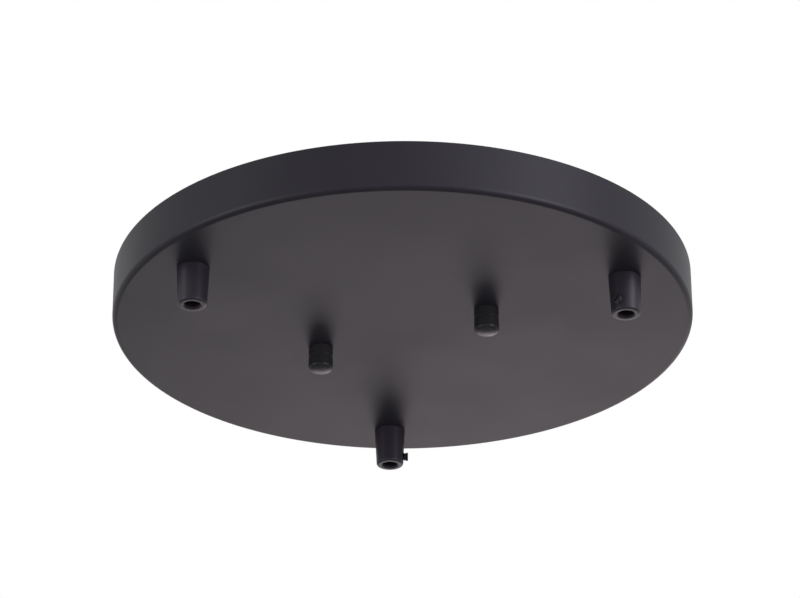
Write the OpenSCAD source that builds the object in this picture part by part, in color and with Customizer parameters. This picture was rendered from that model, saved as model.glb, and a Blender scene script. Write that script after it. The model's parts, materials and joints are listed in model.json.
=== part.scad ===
// Ceiling canopy for a cluster of three pendant cords: a shallow pressed pan that hangs from a
// crossbar on the outlet box, with three tapered cord grips and two cap nuts on its face.
// Millimetres. The origin is at the centre of the ceiling plane, where the crossbar and the
// pan's rim meet the ceiling. +Z points up into the ceiling, so the canopy lies below zero.
// +X runs along the crossbar, towards the right-hand cap nut and cord grip.

/* [Pan] */
// Outside diameter of the pan
pan_d = 300; // [240:5:400]
// Depth of the pan, from its rim at the ceiling to its face
pan_h = 26; // [20:1:40]
// Thickness of the pan's sheet
pan_t = 1; // [0.6:0.1:1.5]
// Outside radius of the bend between the pan's face and its wall
pan_bend_r = 1.8; // [1.6:0.1:6]

/* [Crossbar] */
// Distance between the two studs that hang from the crossbar
stud_spacing = 96; // [80:1:130]
// Width of the crossbar's strip
bar_w = 18; // [14:1:24]
// Thickness of the crossbar's strip
bar_t = 1.5; // [1:0.1:2.5]
// Length of the strip beyond each stud
bar_overhang = 16; // [14:0.5:24]
// Flat stretch of the strip between each stud and the bend
bar_seat = 4.6; // [4.5:0.1:8]
// Drop from the middle of the strip to its two ends, which makes room for the studs' heads
bar_drop = 4; // [3.5:0.1:7]
// Inside radius of the strip's bends
bar_bend_r = 1.5; // [0.5:0.1:1.5]
// Steepness of the sloped stretch between the bends, in degrees
bar_slope = 60; // [45:5:75]
// Corner radius of the strip's four corners
bar_corner_r = 3; // [1:0.5:5]
// Distance between the centres of the two outlet-box slots
slot_spacing = 55; // [50:1:60]
// Length of each outlet-box slot, end to end
slot_l = 20; // [10:1:22]
// Width of each outlet-box slot
slot_w = 5; // [4.5:0.1:6]
// Diameter of the hole in the middle of the crossbar
bar_hole_d = 10.4; // [8:0.1:13]

/* [Studs and cap nuts] */
// Thread diameter of the studs, the ground screw and the cap nuts
stud_d = 4; // [3:0.5:5]
// Width across the head of a stud or the ground screw
stud_head_d = 8; // [7:0.5:8.5]
// Height of the head of a stud or the ground screw
stud_head_h = 2.6; // [2:0.1:3]
// How far each stud stands out below the pan's face
stud_reach = 8; // [5:0.5:12]
// Width across the flats of the nuts that lock the studs to the crossbar
stud_nut_af = 7; // [6:0.5:8]
// Thickness of the nuts that lock the studs to the crossbar
stud_nut_h = 3.2; // [2:0.1:4]
// Outside diameter of the cap nuts
cap_d = 12.7; // [11:0.1:16]
// Empty depth of a cap nut's bore beyond the end of its stud
cap_run_out = 2.5; // [1:0.5:4]
// Solid end of a cap nut
cap_end_t = 2.8; // [2.4:0.1:5]
// Height of the ring groove above the cap nut's free end
cap_groove_h = 7.8; // [5:0.1:9]
// Width of the ring groove at the cap nut's surface
cap_groove_w = 0.7; // [0.6:0.1:1.5]
// Depth of the ring groove
cap_groove_t = 0.3; // [0.2:0.1:0.8]
// Radius of the rounding round the cap nut's free end
cap_edge_r = 1.8; // [0.8:0.1:2.4]
// Radius of the low crown on the cap nut's free end
cap_crown_r = 20; // [14:1:60]
// Distance from the right-hand stud to the ground screw
ground_pitch = 10; // [9.5:0.5:11]
// Length of the ground screw under its head
ground_l = 4.5; // [3:0.5:5]

/* [Cord ports] */
// Distance from the pan's edge to the centre of each cord port
port_inset = 25; // [20:1:40]
// Length of a cord grip
grip_l = 20.5; // [18:0.5:30]
// Diameter of a cord grip where it meets the pan
grip_top_d = 16.5; // [16:0.1:20]
// Diameter of a cord grip at its free end
grip_end_d = 14.6; // [13.5:0.1:18]
// Radius of the rounding round the outside of a grip's free end
grip_edge_r = 1.2; // [0.4:0.1:1.5]
// Diameter of the cord's bore through a grip
cord_bore_d = 8; // [6:0.1:9]
// Chamfer at the mouth of the cord's bore
mouth_chamfer = 0.7; // [0.2:0.1:1]
// Height of the clamp screw's axis above the grip's free end
clamp_h = 5; // [4:0.1:7]
// Diameter of a clamp screw
clamp_d = 4.6; // [3:0.1:5]
// How far a clamp screw stands out of its grip when the cord is loose
clamp_stand_out = 2.4; // [1:0.1:4]
// Width of the driver slot in a clamp screw
clamp_slot_w = 0.8; // [0.5:0.1:1.2]
// Depth of the driver slot in a clamp screw
clamp_slot_t = 1.1; // [0.5:0.1:1.5]
// Turn of the driver slot from level, in degrees
clamp_slot_turn = 50; // [0:5:90]

/* [Nipples] */
// Thread diameter of the hollow nipples
nipple_d = 10; // [9:0.5:11]
// Bore of the hollow nipples
nipple_bore_d = 8.2; // [6:0.1:8.4]
// Length of nipple inside each cord grip
nipple_reach = 8; // [5:0.5:9]
// Length of nipple that stands out above its nut
nipple_stand_out = 2; // [0.5:0.5:5]
// Width across the flats of the nuts on the nipples
port_nut_af = 14; // [13:0.5:17]
// Thickness of the nuts on the nipples
port_nut_h = 3; // [2:0.1:5]
// Outside diameter of the toothed lock washers
washer_d = 17; // [15:0.5:20]
// Thickness of the toothed lock washers
washer_t = 0.8; // [0.5:0.1:1.5]
// Length of a lock washer's teeth
tooth_l = 1.5; // [1:0.1:1.7]
// Number of teeth on a lock washer
tooth_count = 12; // [8:1:16]

/* [Fits] */
// Gap round a screw or nipple in a threaded hole, on each side
thread_gap = 0.05; // [0.02:0.01:0.1]
// Gap round a stud in its hole through the pan, on each side
stud_hole_gap = 0.5; // [0.3:0.1:0.8]
// Gap round a nipple in its hole through the pan or in its washer, on each side
port_hole_gap = 0.2; // [0.1:0.1:0.5]
// Empty depth of a grip's thread beyond the end of its nipple
nipple_end_gap = 1; // [0.5:0.1:2]

/* [Hidden] */
$fn = 96;

// Each cord port's direction from the centre, and the direction that its clamp screw faces
PORT_RIGHT = [0, -94];
PORT_FAR = [120, 27];
PORT_LEFT = [240, 90];

// The two ends of the crossbar, as signs along X
RIGHT = 1;
LEFT = -1;

SATIN_BLACK = "#333236";
MOULDED_BLACK = "#232326";
GLOSS_BLACK = "#1b1b1e";
ZINC = "#b9bcc0";
EARTH_GREEN = "#2f8a4a";

pan_r = pan_d / 2;
face_z = -pan_h;
floor_z = face_z + pan_t;
port_r = pan_r - port_inset;
stud_x = stud_spacing / 2;
bar_end_x = stud_x + bar_overhang;
bar_outer_r = bar_bend_r + bar_t;
stud_l = pan_h - bar_drop + stud_reach;
stud_r = stud_d / 2;
tapped_stud_r = stud_r + thread_gap;
cap_bore_l = stud_reach + cap_run_out;
cap_l = cap_bore_l + cap_end_t;
grip_end_z = face_z - grip_l;
clamp_z = grip_end_z + clamp_h;
nipple_r = nipple_d / 2;
tapped_nipple_r = nipple_r + thread_gap;
port_hole_r = nipple_r + port_hole_gap;
nut_z = floor_z + washer_t;
nipple_l = nipple_reach + pan_t + washer_t + port_nut_h + nipple_stand_out;
// A small allowance that carries a cut clean through a face
over = 1;
// Chamfers on the ends of screws and nipples, and in the mouths of nuts
thread_chamfer = 0.4;

// Points along an arc, from one angle to the other
function arc(centre, r, from, to, steps = 6) =
    [for (i = [0:steps]) let (a = from + (to - from) * i / steps) centre + r * [cos(a), sin(a)]];

// The same outline on the other side of the vertical axis, in reverse order
function mirrored(points) =
    [for (i = [len(points) - 1:-1:0]) [-points[i].x, points[i].y]];

// Radius of a cord grip at a height above its free end
function grip_r_at(h) = (grip_end_d + (grip_top_d - grip_end_d) * h / grip_l) / 2;

// Places its children at a cord port
module at_port(port) {
    rotate([0, 0, port[0]]) translate([port_r, 0, 0]) rotate([0, 0, -port[0]]) children();
}

// A disc whose lower outside corner is rounded, as a half section
module pan_section(r, h, bend) {
    square([r - bend, h]);
    translate([0, bend]) square([r, h - bend]);
    translate([r - bend, bend]) circle(bend);
}

module canopy_pan() {
    color(SATIN_BLACK) difference() {
        translate([0, 0, face_z]) rotate_extrude() difference() {
            pan_section(pan_r, pan_h, pan_bend_r);
            translate([0, pan_t]) pan_section(pan_r - pan_t, pan_h, pan_bend_r - pan_t);
        }
        for (port = [PORT_RIGHT, PORT_FAR, PORT_LEFT])
            at_port(port) translate([0, 0, face_z - over])
                cylinder(r = port_hole_r, h = pan_t + 2 * over);
        for (side = [RIGHT, LEFT])
            translate([side * stud_x, 0, face_z - over])
                cylinder(r = stud_r + stud_hole_gap, h = pan_t + 2 * over);
    }
}

// Side view of the bent strip, with X to the right and Z upwards
module bar_section() {
    slope_h = bar_drop - (bar_bend_r + bar_outer_r) * (1 - cos(bar_slope));
    slope_w = slope_h / tan(bar_slope);
    lower = [stud_x - bar_seat, bar_bend_r - bar_drop];
    upper = [lower.x - (bar_bend_r + bar_outer_r) * sin(bar_slope) - slope_w, -bar_outer_r];
    right = concat(
        arc(upper, bar_outer_r, 90, 90 - bar_slope),
        arc(lower, bar_bend_r, 270 - bar_slope, 270),
        [[bar_end_x, -bar_drop], [bar_end_x, -bar_drop - bar_t]],
        arc(lower, bar_outer_r, 270, 270 - bar_slope),
        arc(upper, bar_bend_r, 90 - bar_slope, 90)
    );
    polygon(concat(right, mirrored(right)));
}

// Plan view of the strip, with its corners rounded
module bar_outline() {
    corner = [bar_end_x - bar_corner_r, bar_w / 2 - bar_corner_r];
    polygon(concat(
        arc(corner, bar_corner_r, 0, 90),
        arc([-corner.x, corner.y], bar_corner_r, 90, 180),
        arc(-corner, bar_corner_r, 180, 270),
        arc([corner.x, -corner.y], bar_corner_r, 270, 360)
    ));
}

// A slot along X, centred on the origin
module slot(l, w, h) {
    straight = l - w;
    translate([-straight / 2, -w / 2, 0]) cube([straight, w, h]);
    for (side = [RIGHT, LEFT])
        translate([side * straight / 2, 0, 0]) cylinder(d = w, h = h);
}

module crossbar() {
    deep = bar_drop + bar_t + 2 * over;
    color(ZINC) difference() {
        intersection() {
            rotate([90, 0, 0]) linear_extrude(bar_w, center = true) bar_section();
            translate([0, 0, -deep]) linear_extrude(deep + over) bar_outline();
        }
        translate([0, 0, -deep]) cylinder(d = bar_hole_d, h = deep + over);
        for (side = [RIGHT, LEFT]) {
            translate([side * slot_spacing / 2, 0, -deep]) slot(slot_l, slot_w, deep + over);
            translate([side * stud_x, 0, -deep]) cylinder(r = tapped_stud_r, h = deep + over);
        }
        translate([stud_x + ground_pitch, 0, -deep]) cylinder(r = tapped_stud_r, h = deep + over);
    }
}

// A pan-head screw with a cross recess: its head stands on z = 0 and its shank points down
module pan_head_screw(l) {
    crown_r = 1.2;
    recess_w = 1;
    recess_l = 4.4;
    recess_t = 1.4;
    head_r = stud_head_d / 2;
    difference() {
        rotate_extrude() polygon(concat(
            [[0, -l], [stud_r - thread_chamfer, -l], [stud_r, thread_chamfer - l], [stud_r, 0],
             [head_r, 0]],
            arc([head_r - crown_r, stud_head_h - crown_r], crown_r, 0, 90),
            [[0, stud_head_h]]
        ));
        for (turn = [0, 90])
            rotate([0, 0, turn])
                translate([-recess_l / 2, -recess_w / 2, stud_head_h - recess_t])
                    cube([recess_l, recess_w, recess_t + over]);
    }
}

module stud(side) {
    color(ZINC) translate([side * stud_x, 0, -bar_drop]) pan_head_screw(stud_l);
}

module ground_screw() {
    color(EARTH_GREEN) translate([stud_x + ground_pitch, 0, -bar_drop - bar_t])
        mirror([0, 0, 1]) pan_head_screw(ground_l);
}

// A hex nut that stands on z = 0, with both faces chamfered to the flats and a tapped bore
module hex_nut(af, h, bore_r) {
    corner_r = af / 2 / cos(30);
    crown_h = (corner_r - af / 2) * tan(30);
    difference() {
        intersection() {
            cylinder(r = corner_r, h = h, $fn = 6);
            rotate_extrude() polygon([
                [0, 0], [af / 2, 0], [corner_r, crown_h],
                [corner_r, h - crown_h], [af / 2, h], [0, h]
            ]);
        }
        translate([0, 0, -over]) cylinder(r = bore_r, h = h + 2 * over);
    }
}

module stud_nut(side) {
    color(ZINC) translate([side * stud_x, 0, -bar_drop - bar_t - stud_nut_h])
        hex_nut(stud_nut_af, stud_nut_h, tapped_stud_r);
}

// A round cap nut: a turned body with a ring groove, closed at its free end by a low crown
module cap_nut(side) {
    cap_r = cap_d / 2;
    drill_tip_h = tapped_stud_r * tan(31);
    // The crown runs tangent into the rounding, where both lean by the same angle
    edge_x = cap_r - cap_edge_r;
    edge_h = cap_crown_r - sqrt(pow(cap_crown_r - cap_edge_r, 2) - pow(edge_x, 2));
    crown_lean = asin(edge_x / (cap_crown_r - cap_edge_r));
    edge_step = (90 - crown_lean) / 7;
    color(GLOSS_BLACK) translate([side * stud_x, 0, face_z - cap_l]) rotate_extrude() polygon(concat(
        arc([0, cap_crown_r], cap_crown_r, 270, 270 + crown_lean),
        arc([edge_x, edge_h], cap_edge_r, 270 + crown_lean + edge_step, 360),
        [[cap_r, cap_groove_h - cap_groove_w / 2],
        [cap_r - cap_groove_t, cap_groove_h - cap_groove_w / 4],
        [cap_r - cap_groove_t, cap_groove_h + cap_groove_w / 4],
        [cap_r, cap_groove_h + cap_groove_w / 2],
        [cap_r, cap_l - thread_chamfer],
        [cap_r - thread_chamfer, cap_l],
        [tapped_stud_r + thread_chamfer, cap_l],
        [tapped_stud_r, cap_l - thread_chamfer],
        [tapped_stud_r, cap_l - cap_bore_l],
        [0, cap_l - cap_bore_l - drill_tip_h]]
    ));
}

// A tapered cord grip: threaded for the nipple at the top, bored for the cord below,
// with a cross hole for its clamp screw
module cord_grip(port) {
    seat_l = nipple_reach + nipple_end_gap;
    bore_r = cord_bore_d / 2;
    ledge_h = tapped_nipple_r - bore_r;
    color(MOULDED_BLACK) at_port(port) difference() {
        translate([0, 0, grip_end_z]) rotate_extrude() polygon(concat(
            [[bore_r + mouth_chamfer, 0]],
            arc([grip_r_at(grip_edge_r) - grip_edge_r, grip_edge_r], grip_edge_r, 270, 360),
            [[grip_top_d / 2, grip_l],
            [tapped_nipple_r + thread_chamfer, grip_l],
            [tapped_nipple_r, grip_l - thread_chamfer],
            [tapped_nipple_r, grip_l - seat_l],
            [bore_r, grip_l - seat_l - ledge_h],
            [bore_r, mouth_chamfer]]
        ));
        translate([0, 0, clamp_z]) rotate([0, 0, port[1]]) rotate([0, 90, 0])
            cylinder(r = clamp_d / 2 + thread_gap, h = grip_top_d);
    }
}

// A headless slotted screw that reaches from the cord's bore out through the grip's wall
module clamp_screw(port) {
    r = clamp_d / 2;
    tip_x = cord_bore_d / 2;
    end_x = grip_r_at(clamp_h) + clamp_stand_out;
    l = end_x - tip_x;
    tip_chamfer = 0.7;
    end_chamfer = 0.3;
    color(MOULDED_BLACK) at_port(port) translate([0, 0, clamp_z]) rotate([0, 0, port[1]])
        rotate([0, 90, 0]) translate([0, 0, tip_x]) difference() {
            rotate_extrude() polygon([
                [0, 0], [r - tip_chamfer, 0], [r, tip_chamfer],
                [r, l - end_chamfer], [r - end_chamfer, l], [0, l]
            ]);
            rotate([0, 0, clamp_slot_turn]) translate([-clamp_slot_w / 2, -clamp_d, l - clamp_slot_t])
                cube([clamp_slot_w, 2 * clamp_d, clamp_slot_t + over]);
        }
}

// A hollow threaded nipple that joins a cord grip to the pan
module nipple(port) {
    color(ZINC) at_port(port) translate([0, 0, face_z - nipple_reach]) rotate_extrude() polygon([
        [nipple_bore_d / 2, 0],
        [nipple_r - thread_chamfer, 0],
        [nipple_r, thread_chamfer],
        [nipple_r, nipple_l - thread_chamfer],
        [nipple_r - thread_chamfer, nipple_l],
        [nipple_bore_d / 2, nipple_l],
    ]);
}

// A lock washer with teeth cut round its outside
module lock_washer(port) {
    root_r = washer_d / 2 - tooth_l;
    gap_w = 3.14159 * washer_d / tooth_count / 2;
    color(ZINC) at_port(port) translate([0, 0, floor_z]) difference() {
        cylinder(d = washer_d, h = washer_t);
        translate([0, 0, -over]) cylinder(r = port_hole_r, h = washer_t + 2 * over);
        for (i = [0:tooth_count - 1])
            rotate([0, 0, i * 360 / tooth_count]) translate([root_r, -gap_w / 2, -over])
                cube([tooth_l + over, gap_w, washer_t + 2 * over]);
    }
}

module port_nut(port) {
    color(ZINC) at_port(port) translate([0, 0, nut_z])
        hex_nut(port_nut_af, port_nut_h, tapped_nipple_r);
}

canopy_pan();
crossbar();
ground_screw();
stud(RIGHT);  // stud_right
stud(LEFT);  // stud_left
stud_nut(RIGHT);  // stud_nut_right
stud_nut(LEFT);  // stud_nut_left
cap_nut(RIGHT);  // cap_nut_right
cap_nut(LEFT);  // cap_nut_left
cord_grip(PORT_RIGHT);  // cord_grip_right
cord_grip(PORT_FAR);  // cord_grip_far
cord_grip(PORT_LEFT);  // cord_grip_left
clamp_screw(PORT_RIGHT);  // clamp_screw_right
clamp_screw(PORT_FAR);  // clamp_screw_far
clamp_screw(PORT_LEFT);  // clamp_screw_left
nipple(PORT_RIGHT);  // nipple_right
nipple(PORT_FAR);  // nipple_far
nipple(PORT_LEFT);  // nipple_left
lock_washer(PORT_RIGHT);  // lock_washer_right
lock_washer(PORT_FAR);  // lock_washer_far
lock_washer(PORT_LEFT);  // lock_washer_left
port_nut(PORT_RIGHT);  // hex_nut_right
port_nut(PORT_FAR);  // hex_nut_far
port_nut(PORT_LEFT);  // hex_nut_left
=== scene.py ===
# Looks of a satin-black ceiling canopy with three cord grips and two cap nuts
import json
from math import asin, atan2, cos, pi, radians, sin, sqrt, tan

import bmesh
import bpy
from mathutils import Matrix, Vector


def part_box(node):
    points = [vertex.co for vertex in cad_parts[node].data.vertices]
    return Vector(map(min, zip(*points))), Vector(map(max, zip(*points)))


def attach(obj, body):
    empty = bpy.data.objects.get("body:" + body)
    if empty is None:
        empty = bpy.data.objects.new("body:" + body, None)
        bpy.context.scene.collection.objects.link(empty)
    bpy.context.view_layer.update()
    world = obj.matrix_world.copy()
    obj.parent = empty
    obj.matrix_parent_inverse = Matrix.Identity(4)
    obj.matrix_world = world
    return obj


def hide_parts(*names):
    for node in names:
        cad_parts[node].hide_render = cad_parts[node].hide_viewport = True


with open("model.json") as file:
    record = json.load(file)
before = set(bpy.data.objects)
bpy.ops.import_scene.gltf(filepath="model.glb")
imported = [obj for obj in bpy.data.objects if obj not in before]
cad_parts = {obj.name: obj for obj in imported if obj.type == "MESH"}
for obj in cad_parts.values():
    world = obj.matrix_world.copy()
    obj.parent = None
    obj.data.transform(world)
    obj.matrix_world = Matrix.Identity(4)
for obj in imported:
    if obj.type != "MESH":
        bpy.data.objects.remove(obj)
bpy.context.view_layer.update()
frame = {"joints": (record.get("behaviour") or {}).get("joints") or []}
bpy.ops.object.select_all(action="DESELECT")

MM = 0.001

# The photograph's frame, in pixels
PHOTO_W = 800
PHOTO_H = 598

# The camera looks up at the canopy from below
FOCAL_PX = 3270
CENTRE_PX = (402.5, 306.3)
SENSOR_W = 36.0
CAMERA_REACH = 1.7
CAMERA_TURN = radians(26.6)
CAMERA_CLIMB = radians(27.14)
CAMERA_ROLL = radians(-0.344)
CAMERA_NEAR = 0.05
CAMERA_FAR = 60
AIM = Vector((0, 0, -0.0125))


def add_camera():
    """Places the camera at the photograph's viewing angle."""
    data = bpy.data.cameras.new("camera")
    data.sensor_width = SENSOR_W
    data.lens = FOCAL_PX / PHOTO_W * SENSOR_W
    data.shift_x = (PHOTO_W / 2 - CENTRE_PX[0]) / PHOTO_W
    data.shift_y = (CENTRE_PX[1] - PHOTO_H / 2) / PHOTO_W
    data.clip_start = CAMERA_NEAR
    data.clip_end = CAMERA_FAR
    ahead = Vector((
        -sin(CAMERA_TURN) * cos(CAMERA_CLIMB),
        cos(CAMERA_TURN) * cos(CAMERA_CLIMB),
        sin(CAMERA_CLIMB),
    ))
    level = Vector((cos(CAMERA_TURN), sin(CAMERA_TURN), 0))
    upright = level.cross(ahead)
    right = level * cos(CAMERA_ROLL) + upright * sin(CAMERA_ROLL)
    up = upright * cos(CAMERA_ROLL) - level * sin(CAMERA_ROLL)
    camera = bpy.data.objects.new("camera", data)
    turn = Matrix((right, up, -ahead)).transposed().to_4x4()
    camera.matrix_world = Matrix.Translation(AIM - ahead * CAMERA_REACH) @ turn
    bpy.context.scene.collection.objects.link(camera)
    bpy.context.scene.camera = camera


add_camera()


# Shader helpers
def add_node(tree, kind, settings=None, **inputs):
    """Adds a shader node, sets its properties and links or fills its named inputs."""
    node = tree.nodes.new(kind)
    for key, value in (settings or {}).items():
        setattr(node, key, value)
    for key, value in inputs.items():
        socket = node.inputs[key.replace("_", " ")]
        if isinstance(value, bpy.types.NodeSocket):
            tree.links.new(value, socket)
        else:
            socket.default_value = value
    return node


def new_material(name):
    """A material whose tree holds only its output node."""
    material = bpy.data.materials.new(name)
    material.use_nodes = True
    material.node_tree.nodes.clear()
    output = material.node_tree.nodes.new("ShaderNodeOutputMaterial")
    return material, material.node_tree, output


# Studio
FLOOR_Z = -2.4
FLOOR_HALF = 4.0
FLOOR_COLOUR = (0.80, 0.79, 0.78, 1)
FLOOR_ROUGHNESS = 0.9
WHITE = (1, 1, 1, 1)
WORLD_LIGHT = 0.35
WORLD_SEEN = 1.0

# The lamps' distance from the canopy and their tints
LAMP_REACH = 2.2
COOL = (0.93, 0.92, 1.0)
WARM = (1.0, 0.86, 0.93)

# Each lamp's turn and climb in degrees from the camera's side, its size in metres, power and tint
LAMPS = {
    "softbox_right": (50, -1, 0.9, 1.4, 58, COOL),
    "softbox_high_right": (56, 25, 0.8, 0.8, 9, COOL),
    "softbox_front_right": (25, 23, 0.9, 0.9, 6, COOL),
    "softbox_left": (-62, -1, 0.9, 1.4, 33, COOL),
    "low_front": (-8, -15, 1.8, 0.5, 4.5, COOL),
    "low_far": (180, -20, 0.9, 0.9, 5.4, WARM),
    "low_far_right": (165, -8, 0.9, 0.9, 4.8, WARM),
}


def add_world():
    """A soft even room light, which the camera and reflections see as white."""
    world = bpy.data.worlds.new("studio")
    world.use_nodes = True
    tree = world.node_tree
    tree.nodes.clear()
    path = add_node(tree, "ShaderNodeLightPath")
    seen = add_node(tree, "ShaderNodeMath", {"operation": "MAXIMUM"})
    tree.links.new(path.outputs["Is Camera Ray"], seen.inputs[0])
    tree.links.new(path.outputs["Is Glossy Ray"], seen.inputs[1])
    shown = add_node(tree, "ShaderNodeMath", {"operation": "MAXIMUM"})
    tree.links.new(seen.outputs[0], shown.inputs[0])
    tree.links.new(path.outputs["Is Transmission Ray"], shown.inputs[1])
    room = add_node(tree, "ShaderNodeBackground", Color=WHITE, Strength=WORLD_LIGHT)
    white = add_node(tree, "ShaderNodeBackground", Color=WHITE, Strength=WORLD_SEEN)
    mix = add_node(tree, "ShaderNodeMixShader", Fac=shown.outputs[0])
    tree.links.new(room.outputs[0], mix.inputs[1])
    tree.links.new(white.outputs[0], mix.inputs[2])
    output = add_node(tree, "ShaderNodeOutputWorld")
    tree.links.new(mix.outputs[0], output.inputs["Surface"])
    bpy.context.scene.world = world


def add_floor():
    """A plain pale floor, a room's height below the ceiling."""
    bpy.ops.mesh.primitive_plane_add(size=2 * FLOOR_HALF, location=(0, 0, FLOOR_Z))
    floor = bpy.context.object
    floor.name = "floor"
    material, tree, output = new_material("pale_floor")
    shader = add_node(
        tree, "ShaderNodeBsdfPrincipled", Base_Color=FLOOR_COLOUR, Roughness=FLOOR_ROUGHNESS,
    )
    tree.links.new(shader.outputs[0], output.inputs["Surface"])
    floor.data.materials.append(material)


def add_lamp(name, turn, climb, width, height, power, tint):
    """A soft area lamp, turned and raised from the camera's side and aimed at the canopy."""
    away = Vector((
        sin(CAMERA_TURN + turn) * cos(climb),
        -cos(CAMERA_TURN + turn) * cos(climb),
        sin(climb),
    ))
    data = bpy.data.lights.new(name, "AREA")
    data.shape = "RECTANGLE"
    data.size = width
    data.size_y = height
    data.energy = power
    data.color = tint
    lamp = bpy.data.objects.new(name, data)
    aimed = away.to_track_quat("Z", "Y").to_matrix().to_4x4()
    lamp.matrix_world = Matrix.Translation(AIM + away * LAMP_REACH) @ aimed
    lamp.visible_camera = False
    bpy.context.scene.collection.objects.link(lamp)


add_world()
add_floor()
for name, (turn, climb, width, height, power, tint) in LAMPS.items():
    add_lamp(name, radians(turn), radians(climb), width, height, power, tint)
bpy.context.scene.view_settings.view_transform = "Standard"


# Modelling helpers
TINY = 0.001 * MM
NEAR = 5 * TINY
OVER = 1.0 * MM
ORIGIN = Vector((0, 0, 0))

# Steps round a drilled hole, and the turn past which an edge of a screw or tooth is softened
HOLE_STEPS = 64
SHARP_TURN = radians(50)

# A metric thread in pitches: its depth, and half the width of its root and of its mouth
THREAD_DEPTH = 0.6134
THREAD_ROOT = 0.083
THREAD_MOUTH = 0.4375
THREAD_CLEAR = 0.1 * MM

# An upper limit on the sides of a thread cutter's open ends
THREAD_END_SIDES = 8

# The sharpest turn that still shades smooth, and how far a large face's normal prevails
SMOOTH_ANGLE = radians(32)
FACE_WEIGHT = 60


def deselect():
    """Leaves no object selected."""
    bpy.ops.object.select_all(action="DESELECT")


def take(piece):
    """Selects one piece alone and makes it the active one."""
    deselect()
    piece.select_set(True)
    bpy.context.view_layer.objects.active = piece


def pick(kind, test):
    """Selects the vertices, edges or faces that pass a test, in the piece being edited."""
    bpy.ops.mesh.select_all(action="DESELECT")
    bpy.ops.mesh.select_mode(type=kind)
    mesh = bmesh.from_edit_mesh(bpy.context.object.data)
    found = {"VERT": mesh.verts, "EDGE": mesh.edges, "FACE": mesh.faces}[kind]
    for part in found:
        if test(part):
            part.select_set(True)
    mesh.select_flush_mode()
    bmesh.update_edit_mesh(bpy.context.object.data)


def settle(piece):
    """Puts a piece's place into its mesh, so that the object sits at the origin."""
    take(piece)
    bpy.ops.object.transform_apply(location=True, rotation=True, scale=True)
    return piece


def draw(name, points):
    """Draws a line through points in the XZ plane, and leaves it open in edit mode."""
    deselect()
    bpy.ops.mesh.primitive_plane_add(size=MM, location=(points[0][0], 0, points[0][1]))
    piece = bpy.context.object
    piece.name = name
    bpy.ops.object.mode_set(mode="EDIT")
    bpy.ops.mesh.select_mode(type="VERT")
    bpy.ops.mesh.merge(type="CENTER")
    for start, end in zip(points, points[1:]):
        step = (end[0] - start[0], 0, end[1] - start[1])
        bpy.ops.mesh.extrude_vertices_move(TRANSFORM_OT_translate={"value": step})
    bpy.ops.mesh.select_all(action="SELECT")
    bpy.ops.mesh.remove_doubles(threshold=TINY)
    return piece


def bevel_offset(before, corner, after):
    """How far from a corner its rounding begins."""
    way_in = Vector((corner[0] - before[0], corner[1] - before[1]))
    way_out = Vector((after[0] - corner[0], after[1] - corner[1]))
    return corner[2] * tan(way_in.angle(way_out) / 2)


def on_ring(radius, height):
    """A test for the edges of one ring about the Z axis."""
    def test(edge):
        return all(
            abs(sqrt(v.co.x ** 2 + v.co.y ** 2) - radius) < NEAR and abs(v.co.z - height) < NEAR
            for v in edge.verts
        )
    return test


def turned(name, outline, steps=96, segments=4):
    """Turns an outline about Z. A point is a radius, a height and, on a corner, its rounding."""
    piece = draw(name, outline)
    bpy.ops.mesh.spin(steps=steps, angle=2 * pi, center=(0, 0, 0), axis=(0, 0, 1))
    bpy.ops.mesh.select_all(action="SELECT")
    bpy.ops.mesh.remove_doubles(threshold=TINY)
    bpy.ops.mesh.normals_make_consistent(inside=False)
    bpy.ops.object.mode_set(mode="OBJECT")
    settle(piece)
    closed = outline[0][:2] == outline[-1][:2]
    ring = outline[:-1] if closed else outline
    bpy.ops.object.mode_set(mode="EDIT")
    for i, corner in enumerate(ring):
        if len(corner) == 3:
            offset = bevel_offset(ring[i - 1], corner, ring[(i + 1) % len(ring)])
            pick("EDGE", on_ring(corner[0], corner[1]))
            bpy.ops.mesh.bevel(offset=offset, segments=segments, affect="EDGES")
    bpy.ops.mesh.select_all(action="SELECT")
    bpy.ops.mesh.remove_doubles(threshold=TINY)
    bpy.ops.object.mode_set(mode="OBJECT")
    return piece


def place(piece, move, turn=0.0, lean=0.0):
    """Leans a piece about Y, turns it about Z, moves it, and settles it there."""
    piece.matrix_world = (
        Matrix.Translation(move) @ Matrix.Rotation(turn, 4, "Z") @ Matrix.Rotation(lean, 4, "Y")
    )
    return settle(piece)


def copied(piece, name, move=ORIGIN, turn=0.0):
    """A copy with its own mesh, turned about Z and moved."""
    twin = piece.copy()
    twin.data = piece.data.copy()
    twin.name = name
    bpy.context.scene.collection.objects.link(twin)
    return place(twin, move, turn)


def cut(piece, tool, how="DIFFERENCE"):
    """Cuts a piece with a tool, or joins or crosses the two, and puts the tool away."""
    take(piece)
    modifier = piece.modifiers.new("cut", "BOOLEAN")
    modifier.operation = how
    modifier.solver = "EXACT"
    modifier.object = tool
    bpy.ops.object.modifier_apply(modifier=modifier.name)
    bpy.data.objects.remove(tool)
    return piece


def soften(piece, width, above, segments=2):
    """Rounds the edges that are sharper than an angle."""
    take(piece)
    modifier = piece.modifiers.new("soft_edges", "BEVEL")
    modifier.width = width
    modifier.segments = segments
    modifier.limit_method = "ANGLE"
    modifier.angle_limit = above
    bpy.ops.object.modifier_apply(modifier=modifier.name)
    return piece


def drill(radius, low, high, chamfer):
    """A cutter for a hole between two heights, with a chamfer at both mouths."""
    flare = radius + chamfer + OVER
    return turned("drill", [
        (0, low - OVER),
        (flare, low - OVER),
        (radius, low + chamfer),
        (radius, high - chamfer),
        (flare, high + OVER),
        (0, high + OVER),
    ], steps=HOLE_STEPS)


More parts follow.
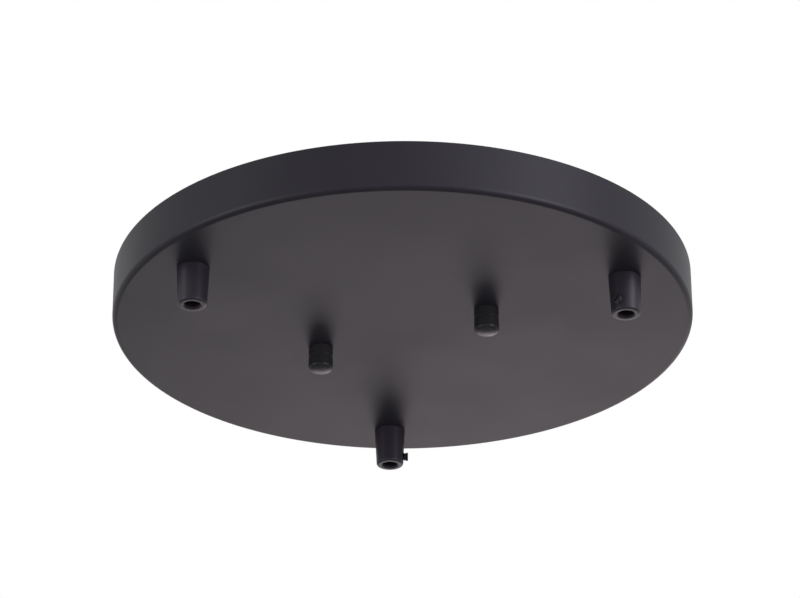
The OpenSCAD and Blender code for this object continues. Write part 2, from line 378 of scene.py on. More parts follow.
def thread_cutter(radius, pitch, low, high, steps=32):
    """A helical groove that cuts a screw thread between two heights."""
    root = radius - THREAD_DEPTH * pitch
    clear = radius + THREAD_CLEAR
    outline = [
        (root, low - THREAD_ROOT * pitch),
        (radius, low - THREAD_MOUTH * pitch),
        (clear, low - THREAD_MOUTH * pitch),
        (clear, low + THREAD_MOUTH * pitch),
        (radius, low + THREAD_MOUTH * pitch),
        (root, low + THREAD_ROOT * pitch),
        (root, low - THREAD_ROOT * pitch),
    ]
    piece = draw("thread_cutter", outline)
    bpy.ops.object.mode_set(mode="OBJECT")
    settle(piece)
    screw = piece.modifiers.new("helix", "SCREW")
    screw.screw_offset = pitch
    screw.iterations = int((high - low) / pitch)
    screw.steps = steps
    screw.render_steps = steps
    bpy.ops.object.modifier_apply(modifier=screw.name)
    bpy.ops.object.mode_set(mode="EDIT")
    bpy.ops.mesh.select_mode(type="EDGE")
    bpy.ops.mesh.select_all(action="DESELECT")
    bpy.ops.mesh.select_non_manifold()
    bpy.ops.mesh.fill_holes(sides=THREAD_END_SIDES)
    bpy.ops.mesh.select_all(action="SELECT")
    bpy.ops.mesh.normals_make_consistent(inside=False)
    bpy.ops.object.mode_set(mode="OBJECT")
    return piece


def block(name, low, high):
    """A cutter with square corners, between two opposite corners."""
    low = Vector(low)
    high = Vector(high)
    deselect()
    bpy.ops.mesh.primitive_cube_add(size=1, location=(low + high) / 2, scale=high - low)
    piece = bpy.context.object
    piece.name = name
    return settle(piece)


def deliver(piece, body, material, nodes):
    """Smooths a finished piece, gives it its finish and ties it to the frame."""
    take(piece)
    bpy.ops.object.shade_smooth_by_angle(angle=SMOOTH_ANGLE)
    modifier = piece.modifiers.new("even_faces", "WEIGHTED_NORMAL")
    modifier.keep_sharp = True
    modifier.weight = FACE_WEIGHT
    bpy.ops.object.modifier_apply(modifier=modifier.name)
    piece.data.materials.clear()
    piece.data.materials.append(material)
    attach(piece, body)
    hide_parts(*nodes)


def middle(node):
    """The middle of a CAD node's box."""
    low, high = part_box(node)
    return (low + high) / 2


# Sizes that the frame gives
pan_low, pan_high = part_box("canopy_pan")
PAN_R = pan_high.x
FACE_Z = pan_low.z
stud_low, stud_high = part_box("stud_right")
STUD_HEAD_R = (stud_high.x - stud_low.x) / 2
grip_low, grip_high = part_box("cord_grip_right")
GRIP_TOP_R = (grip_high.x - grip_low.x) / 2
GRIP_L = grip_high.z - grip_low.z
cap_low, cap_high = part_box("cap_nut_right")
CAP_R = (cap_high.x - cap_low.x) / 2
CAP_L = cap_high.z - cap_low.z
bar_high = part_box("crossbar")[1]
nipple_low, nipple_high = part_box("nipple_right")
NIPPLE_R = (nipple_high.x - nipple_low.x) / 2
NIPPLE_L = nipple_high.z - nipple_low.z
washer_low, washer_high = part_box("lock_washer_right")
WASHER_R = (washer_high.x - washer_low.x) / 2
WASHER_T = washer_high.z - washer_low.z
port_nut_low, port_nut_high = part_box("hex_nut_right")
stud_nut_low, stud_nut_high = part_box("stud_nut_right")
screw_low, screw_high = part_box("clamp_screw_left")
CLAMP_R = (screw_high.x - screw_low.x) / 2
CLAMP_L = screw_high.y - screw_low.y
ground_low, ground_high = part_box("ground_screw")
SHEET_T = washer_low.z - FACE_Z

# The places of the ports and studs
SIDES = ("right", "far", "left")
PORTS = {side: middle("nipple_" + side) for side in SIDES}
STUDS = {side: middle("stud_" + side) for side in ("right", "left")}

# The pan's bend as its light and dark lines show it, which stays inside the frame's sharper one
BEND_R = 2.8 * MM
PAN_RIM_R = 0.12 * MM
PAN_BURR = 0.1 * MM

# Sizes that repeat the frame's own
PORT_HOLE_R = 5.2 * MM
STUD_HOLE_R = 2.5 * MM
STUD_R = 2.0 * MM
STUD_PITCH = 0.7 * MM
TAPPED_STUD_R = 2.05 * MM
TAPPED_NIPPLE_R = 5.05 * MM
NIPPLE_BORE_R = 4.1 * MM
NIPPLE_PITCH = 1.0 * MM
CORD_BORE_R = 4.0 * MM
END_CHAMFER = 0.4 * MM


# The pan
def pan():
    """The pressed pan: a thin sheet with one bend and five holes."""
    inner_r = PAN_R - SHEET_T
    piece = turned("canopy_pan_pressed", [
        (0, FACE_Z),
        (PAN_R, FACE_Z, BEND_R),
        (PAN_R, 0, PAN_RIM_R),
        (inner_r, 0, PAN_RIM_R),
        (inner_r, FACE_Z + SHEET_T, BEND_R - SHEET_T),
        (0, FACE_Z + SHEET_T),
    ], steps=360, segments=12)
    for port in PORTS.values():
        hole = drill(PORT_HOLE_R, FACE_Z, FACE_Z + SHEET_T, PAN_BURR)
        cut(piece, place(hole, (port.x, port.y, 0)))
    for stud in STUDS.values():
        hole = drill(STUD_HOLE_R, FACE_Z, FACE_Z + SHEET_T, PAN_BURR)
        cut(piece, place(hole, (stud.x, stud.y, 0)))
    return piece


# The crossbar
BAR_T = 1.5 * MM
BAR_DROP = 4.0 * MM
BAR_SLOPE = radians(60)
BAR_SEAT = 4.6 * MM
BAR_INNER_R = 1.5 * MM
BAR_CORNER_R = 3.0 * MM
BAR_HOLE_R = 5.2 * MM
BAR_EDGE_R = 0.15 * MM
BAR_SHARP_TURN = radians(60)
BAR_BURR = 0.15 * MM
SLOT_PITCH = 55 * MM
SLOT_L = 20 * MM
SLOT_W = 5 * MM


def slot_cutter():
    """A drill that is pulled apart along X into a slot."""
    piece = drill(SLOT_W / 2, -BAR_T, 0, BAR_BURR)
    take(piece)
    bpy.ops.object.mode_set(mode="EDIT")
    for side in (1, -1):
        pick("VERT", lambda v: v.co.x * side > TINY)
        bpy.ops.transform.translate(value=(side * (SLOT_L - SLOT_W) / 2, 0, 0))
    bpy.ops.object.mode_set(mode="OBJECT")
    return piece


def crossbar():
    """The joggled crossbar: a bent strip with slots, a middle hole and tapped holes."""
    outer_r = BAR_INNER_R + BAR_T
    half_w = bar_high.y
    end = bar_high.x
    # Where the strip's top would turn if its bends were sharp
    foot = STUDS["right"].x - BAR_SEAT - BAR_INNER_R * tan(BAR_SLOPE / 2)
    head = foot - BAR_DROP / tan(BAR_SLOPE)
    piece = draw("crossbar_strip", [
        (-end, -BAR_DROP), (-foot, -BAR_DROP), (-head, 0),
        (head, 0), (foot, -BAR_DROP), (end, -BAR_DROP),
    ])
    bpy.ops.transform.translate(value=(0, -half_w, 0))
    bpy.ops.mesh.extrude_edges_move(TRANSFORM_OT_translate={"value": (0, 2 * half_w, 0)})
    bpy.ops.object.mode_set(mode="OBJECT")
    settle(piece)
    bpy.ops.object.mode_set(mode="EDIT")
    bpy.ops.mesh.select_all(action="SELECT")
    bpy.ops.mesh.normals_make_consistent(inside=False)
    for x, radius in ((head, outer_r), (foot, BAR_INNER_R)):
        pick("EDGE", lambda e: all(abs(abs(v.co.x) - x) < TINY for v in e.verts))
        bpy.ops.mesh.bevel(offset=radius * tan(BAR_SLOPE / 2), segments=8, affect="EDGES")
    pick("VERT", lambda v: abs(v.co.x) > end - TINY)
    bpy.ops.mesh.bevel(offset=BAR_CORNER_R, segments=10, affect="VERTICES")
    bpy.ops.object.mode_set(mode="OBJECT")
    upward = sum(face.normal.z for face in piece.data.polygons)
    thick = piece.modifiers.new("sheet", "SOLIDIFY")
    thick.thickness = BAR_T
    thick.offset = -1 if upward > 0 else 1
    thick.use_even_offset = True
    bpy.ops.object.modifier_apply(modifier=thick.name)
    soften(piece, BAR_EDGE_R, BAR_SHARP_TURN)
    cut(piece, drill(BAR_HOLE_R, -BAR_T, 0, BAR_BURR))
    for side in (1, -1):
        cut(piece, place(slot_cutter(), (side * SLOT_PITCH / 2, 0, 0)))
    tapped = [STUDS["right"].x, STUDS["left"].x, middle("ground_screw").x]
    for x in tapped:
        hole = drill(TAPPED_STUD_R, -BAR_DROP - BAR_T, -BAR_DROP, BAR_BURR)
        cut(piece, place(hole, (x, 0, 0)))
    return piece


# The studs and the ground screw
HEAD_H = 2.6 * MM
HEAD_CROWN_R = 1.2 * MM
HEAD_EDGE_R = 0.15 * MM
HEAD_FILLET_R = 0.1 * MM
STUD_PLAIN_L = 0.7 * MM
STUD_SOFT_R = 0.05 * MM
RECESS_L = 4.4 * MM
RECESS_W = 1.0 * MM
RECESS_T = 1.4 * MM
RECESS_TAPER = (0.55, 0.7, 1)


def recess_cutter():
    """One slot of the cross recess, narrower at its bottom."""
    half_l = RECESS_L / 2
    half_w = RECESS_W / 2
    piece = block("recess", (-half_l, -half_w, HEAD_H - RECESS_T), (half_l, half_w, HEAD_H + OVER))
    bpy.ops.object.mode_set(mode="EDIT")
    pick("VERT", lambda v: v.co.z < HEAD_H)
    bpy.ops.transform.resize(value=RECESS_TAPER)
    bpy.ops.object.mode_set(mode="OBJECT")
    return piece


def pan_head_screw(name, length):
    """A machine screw whose pan head stands on z = 0 and whose shank points down."""
    piece = turned(name, [
        (0, -length),
        (STUD_R - END_CHAMFER, -length),
        (STUD_R, END_CHAMFER - length),
        (STUD_R, 0, HEAD_FILLET_R),
        (STUD_HEAD_R, 0, HEAD_EDGE_R),
        (STUD_HEAD_R, HEAD_H, HEAD_CROWN_R),
        (0, HEAD_H),
    ], steps=64, segments=6)
    cross = recess_cutter()
    cut(piece, copied(cross, "recess_across", turn=pi / 2))
    cut(piece, cross)
    start = -length - 2 * STUD_PITCH
    cut(piece, thread_cutter(STUD_R, STUD_PITCH, start, -STUD_PLAIN_L))
    return soften(piece, STUD_SOFT_R, SHARP_TURN, segments=1)


# The nuts
HEX_HALF = radians(30)
NUT_EDGE_R = 0.08 * MM
NUT_SHARP_TURN = radians(20)


def hex_nut(name, low, high, bore_r):
    """A hex nut between a box's heights, chamfered to its flats, with a tapped bore."""
    flat = high.y - low.y
    corner_r = flat / 2 / cos(HEX_HALF)
    height = high.z - low.z
    slope = tan(HEX_HALF)
    crown = (corner_r - flat / 2) * slope
    deselect()
    bpy.ops.mesh.primitive_cylinder_add(
        vertices=6, radius=corner_r, depth=height,
        location=(0, 0, height / 2), rotation=(0, 0, HEX_HALF),
    )
    piece = bpy.context.object
    piece.name = name
    settle(piece)
    blank = turned("nut_blank", [
        (0, 0),
        (flat / 2, 0),
        (corner_r + OVER, crown + OVER * slope),
        (corner_r + OVER, height - crown - OVER * slope),
        (flat / 2, height),
        (0, height),
    ], steps=120)
    cut(piece, blank, "INTERSECT")
    soften(piece, NUT_EDGE_R, NUT_SHARP_TURN)
    return cut(piece, drill(bore_r, 0, height, END_CHAMFER))


# The lock washers
TOOTH_COUNT = 12
TOOTH_L = 1.5 * MM
TOOTH_W = 2.0 * MM
TOOTH_TWIST = radians(11)
TOOTH_ROOT_L = 0.6 * MM
WASHER_SHEET_T = 0.5 * MM
WASHER_EDGE_R = 0.1 * MM
TOOTH_EDGE_R = 0.04 * MM


def lock_washer(name):
    """A lock washer that stands on z = 0, with twisted teeth round its outside."""
    root_r = WASHER_R - TOOTH_L
    low = (WASHER_T - WASHER_SHEET_T) / 2
    high = low + WASHER_SHEET_T
    piece = turned(name, [
        (PORT_HOLE_R, low, WASHER_EDGE_R),
        (root_r, low, WASHER_EDGE_R),
        (root_r, high, WASHER_EDGE_R),
        (PORT_HOLE_R, high, WASHER_EDGE_R),
        (PORT_HOLE_R, low, WASHER_EDGE_R),
    ], segments=2)
    inner = root_r - TOOTH_ROOT_L
    outer = WASHER_R + OVER
    tooth = block("tooth", (inner, -TOOTH_W / 2, low), (outer, TOOTH_W / 2, high))
    bpy.ops.object.mode_set(mode="EDIT")
    bpy.ops.mesh.select_all(action="SELECT")
    bpy.ops.transform.rotate(
        value=TOOTH_TWIST, orient_axis="X", center_override=(0, 0, WASHER_T / 2),
    )
    bpy.ops.object.mode_set(mode="OBJECT")
    step = 2 * pi / TOOTH_COUNT
    for i in range(TOOTH_COUNT):
        cut(piece, copied(tooth, "tooth_copy", turn=(i + 0.5) * step), "UNION")
    bpy.data.objects.remove(tooth)
    edge = turned("washer_edge", [
        (0, 0),
        (WASHER_R, 0, WASHER_EDGE_R),
        (WASHER_R, WASHER_T, WASHER_EDGE_R),
        (0, WASHER_T),
    ])
    cut(piece, edge, "INTERSECT")
    return soften(piece, TOOTH_EDGE_R, SHARP_TURN, segments=1)


# The nipples
NIPPLE_MOUTH_R = 0.15 * MM


def nipple(name):
    """A hollow threaded nipple that stands on z = 0."""
    piece = turned(name, [
        (NIPPLE_BORE_R, 0, NIPPLE_MOUTH_R),
        (NIPPLE_R - END_CHAMFER, 0),
        (NIPPLE_R, END_CHAMFER),
        (NIPPLE_R, NIPPLE_L - END_CHAMFER),
        (NIPPLE_R - END_CHAMFER, NIPPLE_L),
        (NIPPLE_BORE_R, NIPPLE_L, NIPPLE_MOUTH_R),
        (NIPPLE_BORE_R, 0, NIPPLE_MOUTH_R),
    ], segments=2)
    run_out = 1.5 * NIPPLE_PITCH
    thread = thread_cutter(NIPPLE_R, NIPPLE_PITCH, -run_out, NIPPLE_L + run_out, steps=48)
    return cut(piece, thread)


# The cap nuts
CAP_EDGE_R = 1.8 * MM
CAP_CROWN_R = 20 * MM
CAP_GROOVE_H = 7.8 * MM
CAP_GROOVE_W = 0.7 * MM
CAP_GROOVE_T = 0.3 * MM
CAP_BORE_L = 10.5 * MM
CAP_DRILL_LEAN = radians(31)
CAP_SOFT_R = 0.1 * MM

# The share of the edge's rounding that is bevelled, just short of the crown's last ring
CAP_EDGE_SHARE = 0.99
CROWN_STEPS = 8


def cap_nut(name):
    """A cap nut that stands on its crowned end at z = 0, with a ring groove and a drilled bore."""
    lean = asin((CAP_R - CAP_EDGE_R) / (CAP_CROWN_R - CAP_EDGE_R))
    crown = []
    for i in range(CROWN_STEPS + 1):
        way = lean * i / CROWN_STEPS
        crown.append((CAP_CROWN_R * sin(way), CAP_CROWN_R * (1 - cos(way))))
    shoulder = crown[-1][1] + (CAP_R - crown[-1][0]) * tan(lean)
    groove_r = CAP_R - CAP_GROOVE_T
    return turned(name, crown + [
        (CAP_R, shoulder, CAP_EDGE_SHARE * CAP_EDGE_R),
        (CAP_R, CAP_GROOVE_H - CAP_GROOVE_W / 2, CAP_SOFT_R),
        (groove_r, CAP_GROOVE_H - CAP_GROOVE_W / 5, CAP_SOFT_R),
        (groove_r, CAP_GROOVE_H + CAP_GROOVE_W / 5, CAP_SOFT_R),
        (CAP_R, CAP_GROOVE_H + CAP_GROOVE_W / 2, CAP_SOFT_R),
        (CAP_R, CAP_L, END_CHAMFER),
        (TAPPED_STUD_R + END_CHAMFER, CAP_L),
        (TAPPED_STUD_R, CAP_L - END_CHAMFER),
        (TAPPED_STUD_R, CAP_L - CAP_BORE_L),
        (0, CAP_L - CAP_BORE_L - TAPPED_STUD_R * tan(CAP_DRILL_LEAN)),
    ], segments=6)


# The cord grips and their clamp screws
GRIP_END_R = 7.3 * MM
GRIP_EDGE_R = 1.2 * MM
GRIP_SEAT_L = 9.0 * MM
GRIP_TOP_EDGE_R = 0.25 * MM
MOUTH_CHAMFER = 0.7 * MM
MOUTH_EDGE_R = 0.15 * MM
MOUTH_INNER_R = 0.3 * MM
CROSS_HOLE_BURR = 0.08 * MM
CLAMP_GAP = 0.05 * MM
CLAMP_PITCH = 0.8 * MM
CLAMP_TIP = 0.7 * MM
CLAMP_END_R = 0.3 * MM
CLAMP_EDGE_R = 0.10 * MM
CLAMP_PLAIN_L = 0.6 * MM
CLAMP_SLOT_W = 0.8 * MM
CLAMP_SLOT_T = 1.1 * MM
CLAMP_SLOT_TURN = radians(50)
CLAMP_H = screw_low.z + CLAMP_R - grip_low.z


def facing(side):
    """The direction that a port's clamp screw faces: against its travel."""
    for joint in frame["joints"]:
        if joint["child"] == "clamp_screw_" + side:
            return atan2(-joint["axis"][1], -joint["axis"][0])


def cord_grip(name):
    """A cord grip that stands on z = 0, with the clamp screw's hole facing +X."""
    ledge = TAPPED_NIPPLE_R - CORD_BORE_R
    piece = turned(name, [
        (CORD_BORE_R + MOUTH_CHAMFER, 0, MOUTH_EDGE_R),
        (GRIP_END_R, 0, GRIP_EDGE_R),
        (GRIP_TOP_R, GRIP_L, GRIP_TOP_EDGE_R),
        (TAPPED_NIPPLE_R + END_CHAMFER, GRIP_L),
        (TAPPED_NIPPLE_R, GRIP_L - END_CHAMFER),
        (TAPPED_NIPPLE_R, GRIP_L - GRIP_SEAT_L),
        (CORD_BORE_R, GRIP_L - GRIP_SEAT_L - ledge),
        (CORD_BORE_R, MOUTH_CHAMFER, MOUTH_INNER_R),
        (CORD_BORE_R + MOUTH_CHAMFER, 0, MOUTH_EDGE_R),
    ], steps=128, segments=6)
    hole_r = CLAMP_R + CLAMP_GAP
    reach = 2 * GRIP_TOP_R
    hole = turned(
        "cross_hole", [(0, 0), (hole_r, 0), (hole_r, reach), (0, reach)], steps=HOLE_STEPS,
    )
    cut(piece, place(hole, (0, 0, CLAMP_H), lean=pi / 2))
    bpy.ops.object.mode_set(mode="EDIT")

    def on_mouth(edge):
        """Whether an edge is on the cross hole's mouth in the grip's outside."""
        outside = all(v.co.x > CORD_BORE_R + MM for v in edge.verts)
        away = [sqrt(v.co.y ** 2 + (v.co.z - CLAMP_H) ** 2) for v in edge.verts]
        level = abs(edge.verts[0].co.x - edge.verts[1].co.x) < MM
        return outside and level and all(abs(a - hole_r) < NEAR for a in away)

    pick("EDGE", on_mouth)
    bpy.ops.mesh.bevel(offset=CROSS_HOLE_BURR, segments=1, affect="EDGES")
    bpy.ops.object.mode_set(mode="OBJECT")
    return piece


def clamp_screw(name):
    """A headless slotted screw that stands on its tip at z = 0."""
    piece = turned(name, [
        (0, 0),
        (CLAMP_R - CLAMP_TIP, 0),
        (CLAMP_R, CLAMP_TIP),
        (CLAMP_R, CLAMP_L, CLAMP_END_R),
        (0, CLAMP_L),
    ], steps=64, segments=3)
    start = -1.6 * CLAMP_PITCH
    cut(piece, thread_cutter(CLAMP_R, CLAMP_PITCH, start, CLAMP_L - CLAMP_PLAIN_L))
    slot = block(
        "driver_slot",
        (-CLAMP_SLOT_W / 2, -2 * CLAMP_R, CLAMP_L - CLAMP_SLOT_T),
        (CLAMP_SLOT_W / 2, 2 * CLAMP_R, CLAMP_L + OVER),
    )
    cut(piece, place(slot, ORIGIN, turn=CLAMP_SLOT_TURN))
    return soften(piece, CLAMP_EDGE_R, SHARP_TURN)


# Materials: the spans of noise that are spread out into a mask
NOISE_SPAN = (0.3, 0.7)
SPECK_SPAN = (0.03, 0.07)
DUSTY_SPAN = (0.55, 0.7)
STAIN_SPAN = (0.42, 0.72)
SHADE_SPAN = (0.35, 0.7)

# The scales of the shared patterns, in features to the metre
COAT_MOTTLE_SCALE = 22.0
SPECK_SCALE = 210.0
STAIN_SCALE = 60.0

# The drawn grain's stretch along the bar, and the mottle's share in the plate's relief
GRAIN_STRETCH = (0.05, 1.0, 1.0)
MOTTLE_RELIEF = 0.35

# How strongly dust and shade show, their colours, and how far the gloss changes
DUST_AMOUNT = 0.05
DUST_COLOUR = (0.2, 0.2, 0.2)
PLATE_SHADE = 0.25
PLATE_GREY = (0.28, 0.28, 0.3)
COAT_GLOSS_CHANGE = 0.02
PLATE_GLOSS_DROP = 0.07
PLATE_GLOSS_RISE = 0.09


def new_group(name, inputs, outputs):
    """A shader node group with float or vector sockets."""
    kinds = {"float": "NodeSocketFloat", "vector": "NodeSocketVector"}
    group = bpy.data.node_groups.new(name, "ShaderNodeTree")
    for socket, kind in inputs:
        group.interface.new_socket(socket, in_out="INPUT", socket_type=kinds[kind])
    for socket, kind in outputs:
        group.interface.new_socket(socket, in_out="OUTPUT", socket_type=kinds[kind])
    return group, group.nodes.new("NodeGroupInput"), group.nodes.new("NodeGroupOutput")


def ramp(tree, value, low, high, span=(0.0, 1.0)):
    """Maps a span of a value to another range."""
    node = add_node(
        tree, "ShaderNodeMapRange",
        Value=value, From_Min=span[0], From_Max=span[1], To_Min=low, To_Max=high,
    )
    return node.outputs["Result"]


def coat_group():
    """The skin of a sprayed coat: soft orange peel, fine tooth and slow changes of gloss."""
    group, given, result = new_group(
        "coat_skin",
        [
            ("Vector", "vector"), ("Peel Scale", "float"),
            ("Tooth Scale", "float"), ("Tooth Share", "float"),
        ],
        [("Height", "float"), ("Mottle", "float"), ("Dust", "float")],
    )
    spot = given.outputs["Vector"]
    peel = add_node(
        group, "ShaderNodeTexNoise",
        Vector=spot, Scale=given.outputs["Peel Scale"], Detail=2.0, Roughness=0.45,
    )
    tooth = add_node(
        group, "ShaderNodeTexNoise",
        Vector=spot, Scale=given.outputs["Tooth Scale"], Detail=3.0, Roughness=0.6,
    )
    share = add_node(group, "ShaderNodeMix", {"data_type": "FLOAT"})
    group.links.new(given.outputs["Tooth Share"], share.inputs[0])
    group.links.new(peel.outputs["Fac"], share.inputs[2])
    group.links.new(tooth.outputs["Fac"], share.inputs[3])
    mottle = add_node(
        group, "ShaderNodeTexNoise",
        Vector=spot, Scale=COAT_MOTTLE_SCALE, Detail=4.0, Roughness=0.55,
    )
    specks = add_node(group, "ShaderNodeTexVoronoi", Vector=spot, Scale=SPECK_SCALE)
    dust = ramp(group, specks.outputs["Distance"], 1.0, 0.0, SPECK_SPAN)
    thin = add_node(group, "ShaderNodeMath", {"operation": "MULTIPLY"})
    group.links.new(dust, thin.inputs[0])
    dusty = ramp(group, mottle.outputs["Fac"], 0.0, 1.0, DUSTY_SPAN)
    group.links.new(dusty, thin.inputs[1])
    group.links.new(share.outputs[0], result.inputs["Height"])
    group.links.new(mottle.outputs["Fac"], result.inputs["Mottle"])
    group.links.new(thin.outputs[0], result.inputs["Dust"])
    return group


def plate_group():
    """The skin of plated steel: drawn grain, crystal mottle and faint stains."""
    group, given, result = new_group(
        "plate_skin",
        [("Vector", "vector"), ("Grain Scale", "float"), ("Mottle Scale", "float")],
        [("Height", "float"), ("Grain", "float"), ("Mottle", "float"), ("Stain", "float")],
    )
    spot = given.outputs["Vector"]
    drawn = add_node(group, "ShaderNodeMapping", Vector=spot, Scale=GRAIN_STRETCH)
    grain = add_node(
        group, "ShaderNodeTexNoise", Vector=drawn.outputs["Vector"],
        Scale=given.outputs["Grain Scale"], Detail=3.0, Roughness=0.65,
    )
    mottle = add_node(
        group, "ShaderNodeTexNoise",
        Vector=spot, Scale=given.outputs["Mottle Scale"], Detail=5.0, Roughness=0.6,
    )
    stain = add_node(
        group, "ShaderNodeTexNoise", Vector=spot, Scale=STAIN_SCALE, Detail=2.0, Roughness=0.5,
    )
    height = add_node(group, "ShaderNodeMix", {"data_type": "FLOAT"})
    height.inputs[0].default_value = MOTTLE_RELIEF
    group.links.new(grain.outputs["Fac"], height.inputs[2])
    group.links.new(mottle.outputs["Fac"], height.inputs[3])
    group.links.new(height.outputs[0], result.inputs["Height"])
    group.links.new(grain.outputs["Fac"], result.inputs["Grain"])
    group.links.new(mottle.outputs["Fac"], result.inputs["Mottle"])
    stained = ramp(group, stain.outputs["Fac"], 0.0, 1.0, STAIN_SPAN)
    group.links.new(stained, result.inputs["Stain"])
    return group


COAT_SKIN = coat_group()
PLATE_SKIN = plate_group()


def mixed(tree, factor, low, high):
    """A blend of two colours by a mask."""
    node = add_node(tree, "ShaderNodeMix", {"data_type": "RGBA"})
    tree.links.new(factor, node.inputs[0])
    for socket, colour in ((node.inputs[6], low), (node.inputs[7], high)):
        if isinstance(colour, bpy.types.NodeSocket):
            tree.links.new(colour, socket)
        else:
            socket.default_value = (*colour, 1)
    return node.outputs[2]


def start_finish(name, group, **sizes):
    """A new material with its skin, which follows the piece's own coordinates."""
    material, tree, output = new_material(name)
    spot = add_node(tree, "ShaderNodeTexCoord")
    skin = add_node(
        tree, "ShaderNodeGroup", {"node_tree": group}, Vector=spot.outputs["Object"], **sizes,
    )
    return material, tree, output, skin.outputs


def close_finish(tree, output, height, bump, **values):
    """Raises the skin into relief and gives the surface its shader."""
    relief = add_node(tree, "ShaderNodeBump", Height=height, Strength=1.0, Distance=bump)
    normal = relief.outputs["Normal"]
    shader = add_node(tree, "ShaderNodeBsdfPrincipled", Normal=normal, **values)
    tree.links.new(shader.outputs[0], output.inputs["Surface"])


def black_finish(name, dark, pale, rough, level, peel, tooth, share, bump):
    """A black finish: sprayed or moulded, told apart by its skin, gloss and tint."""
    material, tree, output, skin = start_finish(
        name, COAT_SKIN, Peel_Scale=peel, Tooth_Scale=tooth, Tooth_Share=share,
    )
    colour = mixed(tree, ramp(tree, skin["Mottle"], 0.0, 1.0, NOISE_SPAN), dark, pale)
    speckled = mixed(tree, ramp(tree, skin["Dust"], 0.0, DUST_AMOUNT), colour, DUST_COLOUR)
    smooth = rough - COAT_GLOSS_CHANGE
    dull = rough + COAT_GLOSS_CHANGE
    gloss = ramp(tree, skin["Mottle"], smooth, dull, NOISE_SPAN)
    close_finish(
        tree, output, skin["Height"], bump,
        Base_Color=speckled, Roughness=gloss, Specular_IOR_Level=level,
    )
    return material


def plated_finish(name, clear, tinted, rough, grain, mottle, bump):
    """A plated or dyed metal finish."""
    material, tree, output, skin = start_finish(
        name, PLATE_SKIN, Grain_Scale=grain, Mottle_Scale=mottle,
    )
    tint = mixed(tree, ramp(tree, skin["Stain"], 0.0, 1.0), clear, tinted)
    shade = mixed(tree, ramp(tree, skin["Mottle"], 0.0, PLATE_SHADE, SHADE_SPAN), tint, PLATE_GREY)
    smooth = rough - PLATE_GLOSS_DROP
    dull = rough + PLATE_GLOSS_RISE
    gloss = ramp(tree, skin["Grain"], smooth, dull, NOISE_SPAN)
    close_finish(
        tree, output, skin["Height"], bump, Base_Color=shade, Roughness=gloss, Metallic=1.0,
    )
    return material


SATIN_COAT = black_finish(
    "satin_black_powder_coat", dark=(0.0104, 0.0094, 0.0126), pale=(0.0122, 0.0111, 0.0146),
    rough=0.47, level=0.125, peel=700.0, tooth=3200.0, share=0.35, bump=0.006 * MM,
)
GLOSS_COAT = black_finish(
    "gloss_black_lacquer", dark=(0.0118, 0.0112, 0.0126), pale=(0.0138, 0.0132, 0.0148),
    rough=0.34, level=0.10, peel=420.0, tooth=2500.0, share=0.15, bump=0.004 * MM,
)
MOULDED = black_finish(
    "moulded_black_nylon", dark=(0.0115, 0.0096, 0.0136), pale=(0.0138, 0.0118, 0.0162),
    rough=0.43, level=0.17, peel=1200.0, tooth=5200.0, share=0.6, bump=0.010 * MM,
)
ZINC = plated_finish(
    "bright_zinc_plate", clear=(0.60, 0.615, 0.65), tinted=(0.61, 0.605, 0.57),
    rough=0.32, grain=900.0, mottle=420.0, bump=0.004 * MM,
)
EARTH_GREEN = plated_finish(
    "green_dyed_plate", clear=(0.03, 0.26, 0.09), tinted=(0.05, 0.20, 0.06),
    rough=0.34, grain=900.0, mottle=420.0, bump=0.004 * MM,
)


# The pieces in their places
deliver(pan(), "canopy", SATIN_COAT, ["canopy_pan"])
deliver(crossbar(), "canopy", ZINC, ["crossbar"])

ground = pan_head_screw("ground_screw_turned", ground_high.z - ground_low.z - HEAD_H)
ground_foot = middle("ground_screw")
place(ground, (ground_foot.x, ground_foot.y, ground_low.z + HEAD_H), lean=pi)
deliver(ground, "canopy", EARTH_GREEN, ["ground_screw"])

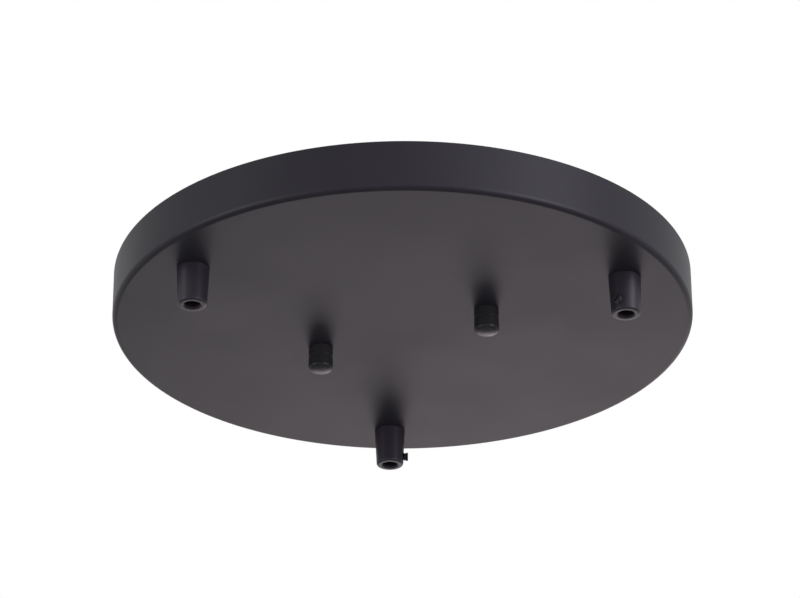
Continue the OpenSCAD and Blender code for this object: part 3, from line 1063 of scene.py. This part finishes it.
stud = pan_head_screw("stud_turned", stud_high.z - stud_low.z - HEAD_H)
stud_nut = hex_nut("stud_nut_milled", stud_nut_low, stud_nut_high, TAPPED_STUD_R)
cap = cap_nut("cap_nut_turned")
for side, spot in STUDS.items():
    screw = copied(stud, "stud_turned_" + side, (spot.x, spot.y, stud_high.z - HEAD_H))
    deliver(screw, "canopy", ZINC, ["stud_" + side])
    nut = copied(stud_nut, "stud_nut_milled_" + side, (spot.x, spot.y, stud_nut_low.z))
    deliver(nut, "canopy", ZINC, ["stud_nut_" + side])
    cover = copied(cap, "cap_nut_turned_" + side, (spot.x, spot.y, cap_low.z))
    deliver(cover, "cap_nut_" + side, GLOSS_COAT, ["cap_nut_" + side])

washer = lock_washer("lock_washer_toothed")
port_nut = hex_nut("port_nut_milled", port_nut_low, port_nut_high, TAPPED_NIPPLE_R)
tube = nipple("nipple_threaded")
grip = cord_grip("cord_grip_moulded")
clamp = clamp_screw("clamp_screw_slotted")
for side, spot in PORTS.items():
    way = facing(side)
    ring = copied(washer, "lock_washer_toothed_" + side, (spot.x, spot.y, washer_low.z))
    deliver(ring, "canopy", ZINC, ["lock_washer_" + side])
    nut = copied(port_nut, "port_nut_milled_" + side, (spot.x, spot.y, port_nut_low.z))
    deliver(nut, "canopy", ZINC, ["hex_nut_" + side])
    hollow = copied(tube, "nipple_threaded_" + side, (spot.x, spot.y, nipple_low.z))
    deliver(hollow, "canopy", ZINC, ["nipple_" + side])
    holder = copied(grip, "cord_grip_moulded_" + side, (spot.x, spot.y, grip_low.z), way)
    deliver(holder, "canopy", MOULDED, ["cord_grip_" + side])
    axis = Vector((spot.x, spot.y, grip_low.z + CLAMP_H))
    tip = Vector((cos(way), sin(way), 0)) * CORD_BORE_R + axis
    pinch = copied(clamp, "clamp_screw_slotted_" + side)
    place(pinch, tip, way, pi / 2)
    deliver(pinch, "clamp_screw_" + side, MOULDED, ["clamp_screw_" + side])
for pattern in (stud, stud_nut, cap, washer, port_nut, tube, grip, clamp):
    bpy.data.objects.remove(pattern)
